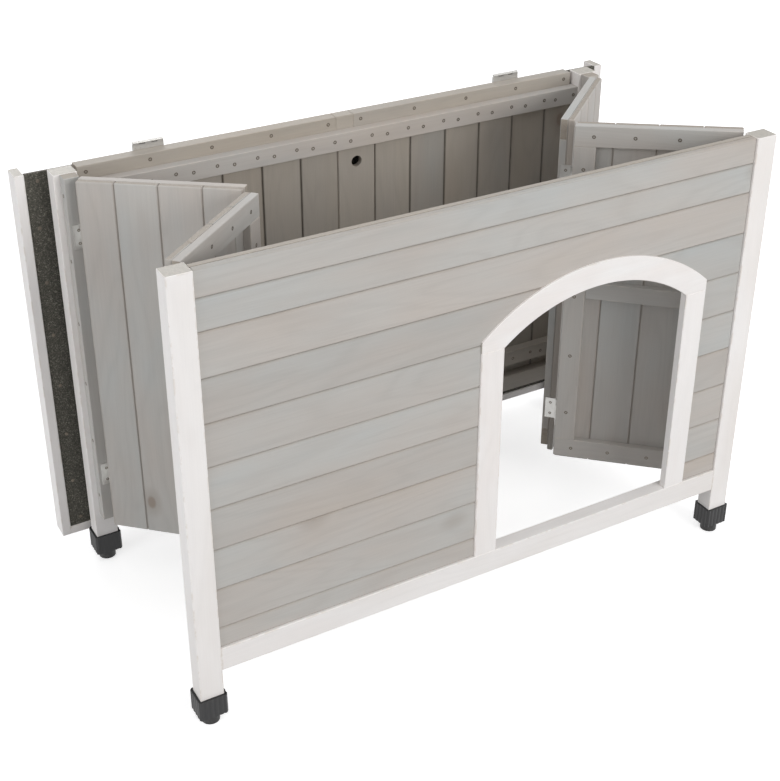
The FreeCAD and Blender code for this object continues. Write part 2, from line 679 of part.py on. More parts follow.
pin_over = "knuckle_gap"
side_pin_length = f"side_hinge_length + 2 * {pin_over}"
z_low_hinge = "(side_board_low + low_hinge_height - side_hinge_length / 2)"
strip_leaves, post_leaves, front_pins = [], [], []
for name, sign, ox, oy, angle in HALVES:
    rear = name.endswith("rear")
    left = name.startswith("left")
    turn = ((ox, oy), angle)
    leaves, pins = [], []
    fixed, fixed_side = (strip_leaves, -1 if left else 1) if rear else (post_leaves, 1 if left else -1)
    fixed_angle = "180" if left else "0"
    y_mid = f"-({sign} * {side_offset})"
    z_high_end = f"({top_line(rear, '0')} - high_hinge_drop - side_hinge_length / 2)"
    z_high_mid = f"({top_line(True, 'half_length')} - high_hinge_drop - side_hinge_length / 2)"
    ca, sa = f"cos({angle} * 1deg)", f"sin({angle} * 1deg)"
    mid_at = (f"{ox} + half_length * {ca} - {y_mid} * {sa}", f"{oy} + half_length * {sa} + {y_mid} * {ca}")
    for z_end, z_mid in ((z_low_hinge, z_low_hinge), (z_high_end, z_high_mid)):
        fixed.append(copy(side_leaf[(0, fixed_side)], (ox, oy, z_end), fixed_angle))
        leaves.append(copy(side_leaf[(1, sign)], ("0", "0", z_end), f"{-90 * sign}", turn=turn))
        leaves.append(copy(side_leaf[(0 if rear else 1, sign)], ("half_length", y_mid, z_mid),
                           f"{90 * sign}", turn=turn))
        end_pin = hinge_pin("side_pin_radius", side_pin_length, (ox, oy, f"{z_end} - {pin_over}"), SIDE_BARREL)
        if rear:
            pins.append(end_pin)
            pins.append(hinge_pin("side_pin_radius", side_pin_length, (*mid_at, f"{z_mid} - {pin_over}"),
                                  SIDE_BARREL))
        else:
            front_pins.append(end_pin)
    keep(group(f"{name}_hinge_leaves", leaves))
    if rear:
        keep(group(f"{name}_hinge_pins", pins))
keep(group("rear_strip_hinge_leaves", strip_leaves))
keep(group("front_post_hinge_leaves", post_leaves))
keep(group("front_hinge_pins", front_pins))

wall_leaves, roof_leaves, roof_pins = [], [], []
for start in (f"({x_roof} + roof_hinge_inset - roof_hinge_length / 2)",
              f"(-({x_roof}) - roof_hinge_inset - roof_hinge_length / 2)"):
    wall_leaves.append(copy(wall_leaf, (start, y_roof_pin, roof_pin_z), lying=True))
    roof_leaves.append(copy(roof_leaf, (start, y_roof_pin, roof_pin_z), lying=True))
    roof_pins.append(hinge_pin("roof_pin_radius", f"roof_hinge_length + 2 * {pin_over}",
                               (f"{start} - {pin_over}", y_roof_pin, roof_pin_z), ROOF_BARREL, lying=True))
keep(group("roof_hinge_wall_leaves", wall_leaves))
keep(group("roof_hinge_roof_leaves", roof_leaves))
keep(group("roof_hinge_pins", roof_pins))

# ---- recompute, check, write ------------------------------------------------------------------
doc.recompute()
for obj in doc.Objects:
    bad = [state for state in obj.State if state in ("Invalid", "Error")]
    if bad:
        raise RuntimeError("%s (%s) is %s" % (obj.Name, obj.Label, bad))
for obj in subparts:
    if obj.Shape.isNull() or not obj.Shape.isValid() or not obj.Shape.Solids:
        raise RuntimeError("%s has no valid solid" % obj.Label)
    obj.Shape.exportStep("parts/%s.step" % obj.Label)
print("pieces", len(subparts), "solids", sum(len(obj.Shape.Solids) for obj in subparts))
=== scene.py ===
import bmesh
import bpy
import json
import math
from mathutils import Matrix, Vector


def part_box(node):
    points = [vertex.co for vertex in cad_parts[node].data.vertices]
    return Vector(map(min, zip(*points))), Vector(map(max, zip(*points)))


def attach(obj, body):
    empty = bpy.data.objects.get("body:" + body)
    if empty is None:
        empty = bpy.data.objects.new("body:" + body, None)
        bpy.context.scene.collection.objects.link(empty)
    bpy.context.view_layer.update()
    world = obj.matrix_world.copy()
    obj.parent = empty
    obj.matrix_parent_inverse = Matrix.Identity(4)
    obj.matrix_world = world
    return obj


# Folding dog house: the looks of the frame's pieces, the small pieces that the frame leaves out
# (middle rails, tongues, screws and nails), and the studio. Metres, +Z up, +Y to the back.
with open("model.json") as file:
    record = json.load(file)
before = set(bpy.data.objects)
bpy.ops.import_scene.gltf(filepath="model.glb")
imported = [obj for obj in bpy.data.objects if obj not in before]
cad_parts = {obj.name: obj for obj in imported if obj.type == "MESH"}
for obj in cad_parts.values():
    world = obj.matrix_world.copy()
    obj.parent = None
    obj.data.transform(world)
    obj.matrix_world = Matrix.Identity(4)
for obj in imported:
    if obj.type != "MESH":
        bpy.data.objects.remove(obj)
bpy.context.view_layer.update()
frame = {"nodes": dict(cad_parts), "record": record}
nodes = frame["nodes"]
pieces = dict(nodes)
behaviour = frame["record"]["behaviour"]

# ---- driving sizes -------------------------------------------------------------------------------
AXES = "xyz"
FRONTWARD, BACKWARD = (0, -1, 0), (0, 1, 0)
# digits and distances by which points, planes and directions count as the same
SAME_PLACE_DIGITS, SAME_FACING_DIGITS, SAME_PLANE_DIGITS = 5, 2, 4
TOUCHING, OPPOSITE = 0.0001, -0.99

# side halves: each is drawn along X and turned to where it stands; FOLD is how far that is from
# walls that are straight
FOLD = next(j for j in behaviour["joints"] if j["name"] == "side_fold")["range_deg"][1]
TURNS = {
    "left_rear": FOLD - 90,
    "left_front": 90 - FOLD,
    "right_rear": -90 - FOLD,
    "right_front": 90 + FOLD,
}
MIDDLE_RAIL_LOW, MIDDLE_RAIL_WIDTH = 0.423, 0.030
RAIL_EASE, RAIL_CLEAR = 0.0010, 0.0002
TONGUE_THICKNESS, TONGUE_SHORT = 0.0030, 0.006

# fasteners: radius of each head, and how far they stay from ends and edges
SCREW, LEAF_SCREW, NAIL = 0.0031, 0.0025, 0.0030
END_GAP, BATTEN_GAP, DECK_GAP, STILE_GAP, RAIL_END = 0.014, 0.020, 0.030, 0.055, 0.003
FELT_GAP, CORNER_GAP = 0.020, 0.090
BOARD_REACH, BOARD_EDGE, BATTEN_STAGGER = 0.020, 0.009, 0.0015
RAIL_SCREW_DROP, DECK_SCREW_INSET = 0.0105, 0.010
STRIP_GAP_LOW, STRIP_GAP_HIGH = 0.045, 0.030
RAIL_SCREWS, STRIP_SCREWS, STILE_SCREWS, FRONT_BATTEN_SCREWS, DECK_BATTEN_SCREWS = 5, 6, 5, 14, 7
NAILS_ACROSS, NAILS_UP = 11, 6
LEAF_SCREW_REACH = 0.27
HEAD_SIDES = 20
FIRST_SPIN, NEXT_SPIN = 0.7, 2.399


# ---- material nodes ------------------------------------------------------------------------------
def lin(r, g, b):
    """Screen colour 0..255 to linear."""
    out = []
    for c in (r, g, b):
        c /= 255.0
        out.append(c / 12.92 if c <= 0.04045 else ((c + 0.055) / 1.055) ** 2.4)
    return (*out, 1.0)


class Net:
    """Short hand for building one material's nodes."""

    def __init__(self, name):
        self.mat = bpy.data.materials.new(name)
        self.mat.use_nodes = True
        self.tree = self.mat.node_tree
        self.tree.nodes.clear()
        out = self.tree.nodes.new("ShaderNodeOutputMaterial")
        self.bsdf = self.tree.nodes.new("ShaderNodeBsdfPrincipled")
        self.tree.links.new(self.bsdf.outputs[0], out.inputs[0])
        coords = self.tree.nodes.new("ShaderNodeTexCoord")
        self.pos = coords.outputs["Object"]
        self.facing = coords.outputs["Normal"]

    def put(self, socket, value):
        if isinstance(value, bpy.types.NodeSocket):
            self.tree.links.new(value, socket)
        else:
            socket.default_value = value

    def math(self, op, a, b=0.0, c=0.0, clamp=False):
        node = self.tree.nodes.new("ShaderNodeMath")
        node.operation = op
        node.use_clamp = clamp
        for k, value in enumerate((a, b, c)):
            self.put(node.inputs[k], value)
        return node.outputs[0]

    def step(self, x, low, high):
        """Smooth 0..1 as x goes from low to high (low may be above high)."""
        node = self.tree.nodes.new("ShaderNodeMapRange")
        node.interpolation_type = "SMOOTHSTEP"
        flip = low > high
        self.put(node.inputs["Value"], x)
        self.put(node.inputs["From Min"], min(low, high))
        self.put(node.inputs["From Max"], max(low, high))
        self.put(node.inputs["To Min"], 1.0 if flip else 0.0)
        self.put(node.inputs["To Max"], 0.0 if flip else 1.0)
        return node.outputs[0]

    def split(self, vector):
        node = self.tree.nodes.new("ShaderNodeSeparateXYZ")
        self.put(node.inputs[0], vector)
        return node.outputs[0], node.outputs[1], node.outputs[2]

    def join(self, x, y, z):
        node = self.tree.nodes.new("ShaderNodeCombineXYZ")
        for k, value in enumerate((x, y, z)):
            self.put(node.inputs[k], value)
        return node.outputs[0]

    def turned(self, vector, degrees):
        if not degrees:
            return vector
        node = self.tree.nodes.new("ShaderNodeVectorRotate")
        node.rotation_type = "Z_AXIS"
        self.put(node.inputs["Vector"], vector)
        self.put(node.inputs["Angle"], math.radians(degrees))
        return node.outputs[0]

    def noise(self, vector, scale=1.0, detail=3.0, rough=0.55, bend=0.0):
        node = self.tree.nodes.new("ShaderNodeTexNoise")
        self.put(node.inputs["Vector"], vector)
        node.inputs["Scale"].default_value = scale
        node.inputs["Detail"].default_value = detail
        node.inputs["Roughness"].default_value = rough
        node.inputs["Distortion"].default_value = bend
        return node.outputs[0]

    def cells(self, vector, scale=1.0):
        """Distance to the nearest of scattered points, and that point's random colour."""
        node = self.tree.nodes.new("ShaderNodeTexVoronoi")
        self.put(node.inputs["Vector"], vector)
        node.inputs["Scale"].default_value = scale
        return node.outputs["Distance"], node.outputs["Color"]

    def random(self, value):
        node = self.tree.nodes.new("ShaderNodeTexWhiteNoise")
        node.noise_dimensions = "1D"
        self.put(node.inputs["W"], value)
        return node.outputs["Value"]

    def mix(self, amount, a, b, how="MIX"):
        node = self.tree.nodes.new("ShaderNodeMix")
        node.data_type = "RGBA"
        node.blend_type = how
        self.put(node.inputs[0], amount)
        self.put(node.inputs[6], a)
        self.put(node.inputs[7], b)
        return node.outputs[2]

    def ramp(self, value, stops):
        node = self.tree.nodes.new("ShaderNodeValToRGB")
        self.put(node.inputs[0], value)
        elements = node.color_ramp.elements
        while len(elements) < len(stops):
            elements.new(0.5)
        for element, (at, colour) in zip(elements, stops):
            element.position = at
            element.color = colour
        return node.outputs[0]

    def grey(self, value):
        return self.join(value, value, value)

    def centred(self, value, weight, base):
        """Base, and weight times how far a 0..1 value is from its middle."""
        return self.math("MULTIPLY_ADD", self.math("SUBTRACT", value, 0.5), weight, base)

    def bump(self, height, strength, distance):
        node = self.tree.nodes.new("ShaderNodeBump")
        self.put(node.inputs["Height"], height)
        node.inputs["Strength"].default_value = strength
        node.inputs["Distance"].default_value = distance
        return node.outputs[0]

    def finish(self, colour, rough, normal, metal=0.0):
        self.put(self.bsdf.inputs["Base Color"], colour)
        self.put(self.bsdf.inputs["Roughness"], rough)
        self.put(self.bsdf.inputs["Normal"], normal)
        self.bsdf.inputs["Metallic"].default_value = metal
        return self.mat


# ---- places read from the frame ------------------------------------------------------------------
def loose(mesh):
    """The polygons of a mesh, one list for each loose solid."""
    root = list(range(len(mesh.vertices)))

    def find(k):
        while root[k] != k:
            root[k] = root[root[k]]
            k = root[k]
        return k

    same = {}
    for v in mesh.vertices:
        place = tuple(round(c, SAME_PLACE_DIGITS) for c in v.co)
        root[find(v.index)] = find(same.setdefault(place, v.index))
    for poly in mesh.polygons:
        for k in poly.vertices:
            root[find(k)] = find(poly.vertices[0])
    groups = {}
    for poly in mesh.polygons:
        groups.setdefault(find(poly.vertices[0]), []).append(poly)
    return list(groups.values())


def extent(points):
    """Lowest and highest corner of some points."""
    lo = Vector([min(p[k] for p in points) for k in range(3)])
    hi = Vector([max(p[k] for p in points) for k in range(3)])
    return lo, hi


def whole(boxes):
    return extent([corner for box in boxes for corner in box])


def solids(name, turn=0.0):
    """Corners of every solid of a piece, in the directions its sticks were planed in."""
    mesh = pieces[name].data
    back = Matrix.Rotation(math.radians(-turn), 3, "Z")
    boxes = []
    for polys in loose(mesh):
        boxes.append(extent([back @ mesh.vertices[k].co for poly in polys for k in poly.vertices]))
    return boxes


def spans(boxes, axis):
    """Where each board or stick begins and ends along an axis, in order."""
    out = []
    for low, high in sorted((box[0][axis], box[1][axis]) for box in boxes):
        if out and low < out[-1][1] - TOUCHING:
            out[-1][1] = max(out[-1][1], high)
        else:
            out.append([low, high])
    return out


def even(low, high, count):
    """Places at even distances, the first and last at the ends."""
    return [low + (high - low) * k / (count - 1) for k in range(count)]


def to_object(bm, name):
    """Makes an object of a mesh that is drawn."""
    mesh = bpy.data.meshes.new(name)
    bm.to_mesh(mesh)
    bm.free()
    obj = bpy.data.objects.new(name, mesh)
    bpy.context.scene.collection.objects.link(obj)
    return obj


# ---- middle rails and tongues of the side halves -------------------------------------------------
def add_stick(bm, lo, hi, ease=0.0):
    """Adds a planed stick to a mesh, its edges eased."""
    corners = bmesh.ops.create_cube(bm, size=1.0)["verts"]
    for v in corners:
        v.co = Vector([lo[k] if v.co[k] < 0 else hi[k] for k in range(3)])
    if ease:
        edges = {edge for v in corners for edge in v.link_edges}
        bmesh.ops.bevel(bm, geom=list(edges), offset=ease, segments=2, affect="EDGES", profile=0.5)


def join_half(bm, name, half, turn):
    """Turns a mesh that was drawn in a half's planed directions, and makes it a piece of that half."""
    bmesh.ops.transform(bm, matrix=Matrix.Rotation(math.radians(turn), 4, "Z"), verts=bm.verts)
    obj = to_object(bm, name)
    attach(obj, half + "_side")
    pieces[name] = obj


def middle_rail(half, turn):
    """Eased stick between the two stiles of a half, as deep as its bottom rail."""
    depth = whole(solids(half + "_bottom_rail", turn))
    first, last = spans(solids(half + "_stiles", turn), 0)
    lo = (first[1] + RAIL_CLEAR, depth[0][1], MIDDLE_RAIL_LOW)
    hi = (last[0] - RAIL_CLEAR, depth[1][1], MIDDLE_RAIL_LOW + MIDDLE_RAIL_WIDTH)
    bm = bmesh.new()
    add_stick(bm, lo, hi, RAIL_EASE)
    join_half(bm, half + "_middle_rail", half, turn)


def tongues(half, turn):
    """Tongues that close the seams between the boards of a half."""
    boards = sorted(solids(half + "_boards", turn), key=lambda box: box[0][0])
    bm = bmesh.new()
    for (lo, hi), (next_lo, next_hi) in zip(boards, boards[1:]):
        middle = (lo[1] + hi[1]) / 2
        low = (hi[0], middle - TONGUE_THICKNESS / 2, lo[2] + TONGUE_SHORT)
        high = (next_lo[0], middle + TONGUE_THICKNESS / 2, min(hi[2], next_hi[2]) - TONGUE_SHORT)
        add_stick(bm, low, high)
    join_half(bm, half + "_tongues", half, turn)


for half, turn in TURNS.items():
    middle_rail(half, turn)
    tongues(half, turn)

# ---- wood ----------------------------------------------------------------------------------------
# tints run from beige over neutral grey to bluish grey
GREY = {
    "tints": (
        (0.0, lin(191, 182, 173)),
        (0.34, lin(187, 181, 175)),
        (0.67, lin(184, 182, 178)),
        (1.0, lin(179, 182, 181)),
    ),
    # seam: how dark the seams between boards are painted, dust and painted shade in the grooves
    "spread": 0.10, "grain": 0.09, "rough": 0.62, "wear": 0.35, "seam": 0.84,
    "bare": lin(204, 195, 184), "knot": lin(138, 124, 112), "end": lin(158, 149, 138),
}
# darker, browner copy of the grey wash for the pieces inside the house: partly their rawer inner wood,
# partly painted shade of the dim inside; its seams are painted much darker, as painted shade in the grooves
INNER_WITH_SHADE = {
    **GREY,
    "tints": (
        (0.0, lin(178, 167, 154)),
        (0.34, lin(174, 166, 155)),
        (0.67, lin(170, 163, 154)),
        (1.0, lin(165, 162, 156)),
    ),
    "seam": 0.34, "bare": lin(186, 174, 160),
}
WHITE = {
    "tints": (
        (0.0, lin(236, 231, 227)),
        (0.4, lin(242, 239, 237)),
        (0.75, lin(238, 233, 230)),
        (1.0, lin(241, 240, 239)),
    ),
    "spread": 0.035, "grain": 0.04, "rough": 0.48, "wear": 0.34, "seam": 0.72,
    "bare": lin(208, 195, 180), "knot": lin(214, 199, 188), "end": lin(184, 179, 170),
}

# how dense each pattern is along the grain and across it, in cycles a metre
FINE, PORES, BROAD = (9.0, 420.0), (30.0, 1300.0), (1.6, 9.0)
WASH, BLOT, KNOTS = (3.4, 9.0), (3.0, 14.0), (5.2, 8.6)
RINGS, RING_CREST = 75.0, 2.6
SAWN_ACROSS, SAWN_ARCS, SAWN_DEPTH = (30.0, 60.0), 60.0, -0.06
# what is drawn for each stick: its tint, and how far its grain is shifted
TINT_DRAW, SHIFT_DRAW, SHIFT_START, STICK_SHIFT = 3.717, 5.113, 0.37, 40.0
WASH_REACH, PLAIN_TINT, PLAIN_REACH = 1.5, 0.3, 0.4
# how far each pattern shifts the tone, as a share of the look's spread or of its grain
WASH_SHARE, BLOT_SHARE, FINE_SHARE, PORE_SHARE, RING_SHARE = 1.3, 0.8, 1.6, 0.7, -0.42
# knots: the share left out, and where a knot and its halo begin and are full
KNOTS_LEFT_OUT, KNOT_EDGE, KNOT_HALO = 0.74, (0.085, 0.045), (0.20, 0.07)
KNOT_STRENGTH, HALO_STRENGTH = 0.75, 0.30
# distances from an edge or a seam at which wear, and the dust and painted shade in the seams, begin and are
# full
WORN_EDGE, SEAM_DUST_AND_SHADE, SAWN_FACE = (0.0030, 0.0008), (0.0034, 0.0004), (0.75, 0.92)
RUB_SCALE, RUB_LIMITS, JOINED_WEAR = 60.0, (0.46, 0.62), 0.4
# patchiness, least and reach of the dust and painted shade in the seams, and the warm tint of that
# darkening
SEAM_DUST_AND_SHADE_SCALE, SEAM_DUST_AND_SHADE_LEAST, SEAM_DUST_AND_SHADE_REACH, SEAM_DUST_AND_SHADE_TINT = 35.0, 0.65, 0.5, (1.0, 0.97, 0.94)
# relief and gloss of the grain
FINE_RELIEF, RING_RELIEF, PORE_RELIEF = 0.7, -0.25, 0.25
GRAIN_BUMP, GRAIN_HEIGHT = 0.35, 0.0006
FINE_ROUGH, LEAST_ROUGH = 0.16, -0.08


class Wood(Net):
    """Washed or painted softwood of one piece; grain, split and turn follow its planed sticks."""

    def __init__(self, name, look, grain, split=None, hues=None, joined=False, turn=0.0, seed=0.0):
        super().__init__("wood_" + name)
        self.look = look
        self.joined = joined
        self.grain = AXES.index(grain)
        self.axes = self.split(self.turned(self.pos, -turn))
        self.normals = self.split(self.turned(self.facing, -turn))
        number = self.find_stick(solids(name, turn), split, hues, seed)
        pick = self.random(self.math("MULTIPLY", number, TINT_DRAW))
        self.pick = self.random(self.math("MULTIPLY_ADD", number, SHIFT_DRAW, SHIFT_START))
        if hues is None:
            self.tint = self.math("MULTIPLY_ADD", pick, PLAIN_REACH, PLAIN_TINT)
        self.along = self.math("MULTIPLY_ADD", self.pick, STICK_SHIFT, self.axes[self.grain])
        self.across = [self.axes[k] for k in range(3) if k != self.grain]
        self.to_face = [self.face_distance(k) for k in range(3)]
        self.fine = self.noise(self.stretched(FINE), detail=4.0, rough=0.6)
        self.pores = self.noise(self.stretched(PORES), detail=2.0, rough=0.5)
        self.rings = self.growth_rings()

    def find_stick(self, boxes, split, hues, seed):
        """Number of the stick that a point is in; keeps that stick's tint and its own corners."""
        lo, hi = whole(boxes)
        self.low, self.high = list(lo), list(hi)
        number = self.math("ADD", 0.0, seed)
        if hues is not None:
            self.tint = hues[0]
        if split is None:
            return number
        s = self.parted = AXES.index(split)
        sticks = spans(boxes, s)
        self.low[s], self.high[s] = sticks[0]
        for k, (before, after) in enumerate(zip(sticks, sticks[1:])):
            beyond = self.math("GREATER_THAN", self.axes[s], (before[1] + after[0]) / 2)
            number = self.math("ADD", number, beyond)
            self.low[s] = self.math("MULTIPLY_ADD", beyond, after[0] - before[0], self.low[s])
            self.high[s] = self.math("MULTIPLY_ADD", beyond, after[1] - before[1], self.high[s])
            if hues is not None:
                self.tint = self.math("MULTIPLY_ADD", beyond, hues[k + 1] - hues[k], self.tint)
        return number

    def face_distance(self, k):
        """How far a point is from the nearer of its stick's two faces along an axis."""
        to_low = self.math("SUBTRACT", self.axes[k], self.low[k])
        to_high = self.math("SUBTRACT", self.high[k], self.axes[k])
        return self.math("ABSOLUTE", self.math("MINIMUM", to_low, to_high))

    def stretched(self, density):
        lengthwise, crosswise = density
        c1, c2 = [self.math("MULTIPLY", c, crosswise) for c in self.across]
        return self.join(self.math("MULTIPLY", self.along, lengthwise), c1, c2)

    def growth_rings(self):
        """Broad rings cut lengthwise."""
        broad = self.noise(self.stretched(BROAD), detail=2.0, rough=0.5, bend=0.4)
        wave = self.math("SINE", self.math("MULTIPLY", broad, RINGS))
        return self.math("POWER", self.math("MULTIPLY_ADD", wave, 0.5, 0.5), RING_CREST)

    def washed(self):
        """The finish, which takes differently along each board, over the grain."""
        spread, grain = self.look["spread"], self.look["grain"]
        wash = self.noise(self.stretched(WASH), detail=3.0, rough=0.55)
        blot = self.noise(self.stretched(BLOT), detail=2.0)
        off_middle = self.math("SUBTRACT", wash, 0.5)
        hue = self.math("MULTIPLY_ADD", off_middle, WASH_REACH, self.tint, clamp=True)
        tone = self.centred(self.pick, spread, 1.0)
        shares = (
            (wash, spread * WASH_SHARE),
            (blot, spread * BLOT_SHARE),
            (self.fine, grain * FINE_SHARE),
            (self.pores, grain * PORE_SHARE),
        )
        for source, weight in shares:
            tone = self.centred(source, weight, tone)
        tone = self.math("MULTIPLY_ADD", self.rings, grain * RING_SHARE, tone)
        return self.mix(1.0, self.ramp(hue, self.look["tints"]), self.grey(tone), "MULTIPLY")

    def knotted(self, colour):
        """Knots, oval along the grain, each with a halo."""
        near, pick = self.cells(self.stretched(KNOTS))
        keep = self.math("GREATER_THAN", self.split(pick)[0], KNOTS_LEFT_OUT)
        for limits, strength in ((KNOT_HALO, HALO_STRENGTH), (KNOT_EDGE, KNOT_STRENGTH)):
            spot = self.math("MULTIPLY", self.step(near, *limits), keep)
            colour = self.mix(self.math("MULTIPLY", spot, strength), colour, self.look["knot"])
        return colour

    def rubbed(self, colour):
        """Long edges worn bare, by the distance to the second nearest face of the stick."""
        a, b, c = self.to_face
        edge = self.math("MINIMUM", self.math("MAXIMUM", a, b), c)
        edge = self.math("MAXIMUM", self.math("MINIMUM", a, b), edge)
        rub = self.step(self.noise(self.pos, RUB_SCALE, 3.0, 0.65), *RUB_LIMITS)
        wear = self.look["wear"] * (JOINED_WEAR if self.joined else 1.0)
        worn = self.math("MULTIPLY", self.step(edge, *WORN_EDGE), self.math("MULTIPLY", rub, wear))
        return self.mix(worn, colour, self.look["bare"])

    def sawn(self, colour):
        """Sawn ends show the rings in the round and take less of the finish."""
        c1, c2 = [self.math("MULTIPLY", c, f) for c, f in zip(self.across, SAWN_ACROSS)]
        arcs = self.noise(self.join(c1, c2, self.pick), bend=0.8)
        arcs = self.math("SINE", self.math("MULTIPLY", arcs, SAWN_ARCS))
        shade = self.grey(self.math("MULTIPLY_ADD", arcs, SAWN_DEPTH, 1.0))
        end = self.mix(1.0, self.look["end"], shade, "MULTIPLY")
        lengthwise = self.math("ABSOLUTE", self.normals[self.grain])
        return self.mix(self.step(lengthwise, *SAWN_FACE), colour, end)

    def seamed(self, colour):
        """Painted shade and dust in the seams between boards."""
        patchy = self.noise(self.pos, SEAM_DUST_AND_SHADE_SCALE, 2.0, 0.5)
        uneven = self.math("MULTIPLY_ADD", patchy, SEAM_DUST_AND_SHADE_REACH, SEAM_DUST_AND_SHADE_LEAST)
        # painted shade and dust darken each board near its seams
        dust_and_shade = self.math("MULTIPLY", self.step(self.to_face[self.parted], *SEAM_DUST_AND_SHADE), uneven, clamp=True)
        dark = (*[self.look["seam"] * c for c in SEAM_DUST_AND_SHADE_TINT], 1.0)
        shade = self.mix(1.0, colour, dark, "MULTIPLY")
        return self.mix(dust_and_shade, colour, shade)

    def material(self):
        colour = self.sawn(self.rubbed(self.knotted(self.washed())))
        if self.joined:
            colour = self.seamed(colour)
        height = self.math("MULTIPLY", self.rings, RING_RELIEF)
        height = self.math("MULTIPLY_ADD", self.fine, FINE_RELIEF, height)
        height = self.math("MULTIPLY_ADD", self.pores, PORE_RELIEF, height)
        rough = self.math("MULTIPLY_ADD", self.fine, FINE_ROUGH, self.look["rough"] + LEAST_ROUGH)
        return self.finish(colour, rough, self.bump(height, GRAIN_BUMP, GRAIN_HEIGHT))


def cover(name, material):
    mesh = pieces[name].data
    mesh.materials.clear()
    mesh.materials.append(material)


def wood(name, look, grain, **how):
    cover(name, Wood(name, look, grain, **how).material())


# pieces of one stick, or of several apart: name, look, grain, and the axis that parts the sticks
STICKS = (
    ("front_left_post", WHITE, "z", None), ("front_right_post", WHITE, "z", None),
    ("rear_left_post", WHITE, "z", None), ("rear_right_post", WHITE, "z", None),
    ("front_bottom_rail", WHITE, "x", None), ("door_left_upright", WHITE, "z", None),
    ("door_right_upright", WHITE, "z", None), ("door_arch", WHITE, "x", None),
    ("front_top_batten", INNER_WITH_SHADE, "x", None), ("front_door_battens", INNER_WITH_SHADE, "z", "x"),
    ("front_left_batten", INNER_WITH_SHADE, "z", None), ("rear_top_batten", GREY, "x", None),
    ("rear_bottom_batten", INNER_WITH_SHADE, "x", None), ("rear_bottom_rail", INNER_WITH_SHADE, "x", None),
    ("rear_top_rail_left", INNER_WITH_SHADE, "x", None), ("rear_top_rail_right", INNER_WITH_SHADE, "x", None),
    ("rear_top_rail_block", INNER_WITH_SHADE, "x", None), ("rear_vent_board", INNER_WITH_SHADE, "z", None),
    ("rear_left_corner_strip", GREY, "z", None), ("rear_right_corner_strip", GREY, "z", None),
    ("roof_left_fascia", WHITE, "z", None), ("roof_right_fascia", WHITE, "z", None),
    ("roof_front_fascia", WHITE, "x", None), ("roof_deck_battens", INNER_WITH_SHADE, "x", "z"),
)
# pieces of each side half: name, look, grain, what is said of the sticks, and a seed of its own
HALF_STICKS = (
    ("boards", GREY, "z", {"split": "x", "joined": True}, 0.0),
    ("stiles", GREY, "z", {"split": "x"}, 11.0),
    ("top_rail", GREY, "x", {}, 21.0),
    ("bottom_rail", GREY, "x", {}, 31.0),
    ("middle_rail", GREY, "x", {}, 41.0),
    ("tongues", INNER_WITH_SHADE, "z", {}, 47.0),
)
STICK_SEED, HALF_SEED = 7.0, 53.0
FRONT_SEED, REAR_SEED, DECK_SEED = 3.0, 171.0, 61.0
# tints of the front's boards, from the lowest up
ROW_HUES = (0.32, 0.45, 0.52, 0.42, 0.60, 0.46, 0.62, 0.34, 0.66, 0.55)

seed = 0.0
for name, look, grain, split in STICKS:
    seed += STICK_SEED
    wood(name, look, grain, split=split, seed=seed)
wood("front_boards", GREY, "x", split="z", hues=ROW_HUES, joined=True, seed=FRONT_SEED)
wood("rear_wall_boards", INNER_WITH_SHADE, "z", split="x", joined=True, seed=REAR_SEED)
wood("roof_deck_boards", INNER_WITH_SHADE, "x", split="z", joined=True, seed=DECK_SEED)
for half, turn in TURNS.items():
    seed += HALF_SEED
    for name, look, grain, how, own in HALF_STICKS:
        wood(f"{half}_{name}", look, grain, turn=turn, seed=seed + own, **how)


# ---- metal, plastic, felt ------------------------------------------------------------------------
def zinc():
    net = Net("zinc_plate")
    dull, bright, stain = lin(188, 187, 184), lin(218, 217, 214), lin(164, 158, 146)
    brushed = (900, 900, 60)
    cloud = net.noise(net.pos, scale=90.0, detail=4.0, rough=0.6)
    streak = net.noise(net.join(*[net.math("MULTIPLY", a, f) for a, f in zip(net.split(net.pos), brushed)]))
    stained = net.math("MULTIPLY", net.step(cloud, 0.62, 0.75), 0.5)
    colour = net.mix(stained, net.mix(cloud, dull, bright), stain)
    rough = net.math("MULTIPLY_ADD", streak, 0.25, 0.24)
    return net.finish(colour, rough, net.bump(streak, strength=0.12, distance=0.0003), metal=0.85)


def screw_steel():
    net = Net("screw_steel")
    dark, pale = lin(92, 84, 74), lin(132, 124, 113)
    cloud = net.noise(net.pos, scale=400.0, detail=3.0, rough=0.6)
    rough = net.math("MULTIPLY_ADD", cloud, 0.2, 0.36)
    normal = net.bump(cloud, strength=0.1, distance=0.0002)
    return net.finish(net.mix(cloud, dark, pale), rough, normal, metal=0.75)


def plastic():
    net = Net("moulded_foot_plastic")
    black, scuffed, dusty = lin(18, 18, 19), lin(31, 31, 32), lin(104, 100, 95)
    dust_top, dust_full = 0.014, 0.001
    fine = net.noise(net.pos, scale=1400.0, detail=2.0, rough=0.5)
    scuff = net.noise(net.pos, scale=55.0, detail=4.0, rough=0.65)
    low_down = net.step(net.split(net.pos)[2], dust_top, dust_full)
    dust = net.math("MULTIPLY", low_down, net.step(scuff, 0.42, 0.66))
    colour = net.mix(net.math("MULTIPLY", dust, 0.45), net.mix(scuff, black, scuffed), dusty)
    rough = net.math("MULTIPLY_ADD", scuff, 0.25, 0.36)
    return net.finish(colour, rough, net.bump(fine, strength=0.25, distance=0.0002))


